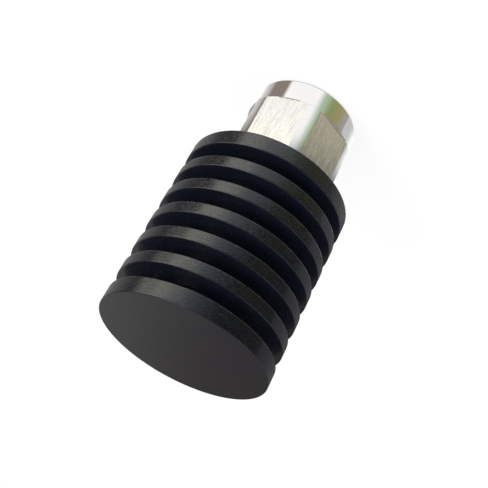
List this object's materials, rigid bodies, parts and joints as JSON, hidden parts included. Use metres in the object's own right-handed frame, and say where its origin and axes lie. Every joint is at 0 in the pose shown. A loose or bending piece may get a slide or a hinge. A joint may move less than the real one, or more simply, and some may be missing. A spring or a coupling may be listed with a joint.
{
  "type": "coaxial terminator",
  "caption": "Coaxial termination: a plug with a freely turning hexagonal coupling nut, on a black round finned heatsink that holds the load resistor.",
  "frame": {"origin": "on the axis, in the plane of the coupling nut's front face, on which the part stands", "axes": "+Z along the axis from the plug's mouth to the heatsink's closed end disc; +X and +Y across it, -Y towards the picture's camera"},
  "size_m": [0.03, 0.03, 0.0527],
  "materials": {
    "black_anodise": "bead blasted, black anodised",
    "nickel_plate": "nickel plated, brushed flats, polished collar",
    "steel": "plain",
    "silicone": "matt",
    "black_rubber": "matt",
    "gold_plate": "gold plated",
    "white_plastic": "turned fluoroplastic",
    "bare_brass": "turned",
    "copper": "milled copper",
    "plated_copper": "tin plated",
    "grey_ceramic": "fired aluminium nitride",
    "white_ceramic": "fired alumina",
    "silver_plate": "silver plated strip"
  },
  "bodies": {
    "load_body": {"heatsink": "black_anodise", "connector_shell": "nickel_plate", "snap_ring": "steel", "mating_gasket": "silicone", "centre_pin": "gold_plate", "front_bead": "white_plastic", "rear_bead": "white_plastic", "line_sleeve": "bare_brass", "mouth_o_ring": "black_rubber", "resistor_carrier": "copper", "carrier_screw_1": "steel", "carrier_screw_2": "steel", "resistor_flange": "plated_copper", "resistor_chip": "grey_ceramic", "resistor_cover": "white_ceramic", "resistor_tab": "silver_plate", "flange_screw_1": "steel", "flange_screw_2": "steel", "flange_washer_1": "steel", "flange_washer_2": "steel"},
    "nut": {"coupling_nut": "nickel_plate"}
  },
  "joints": [
    {"name": "nut_turn", "type": "hinge", "parent": "load_body", "child": "nut", "pos_m": [0, 0, 0.0084], "axis": [0, 0, 1], "continuous": true}
  ]
}
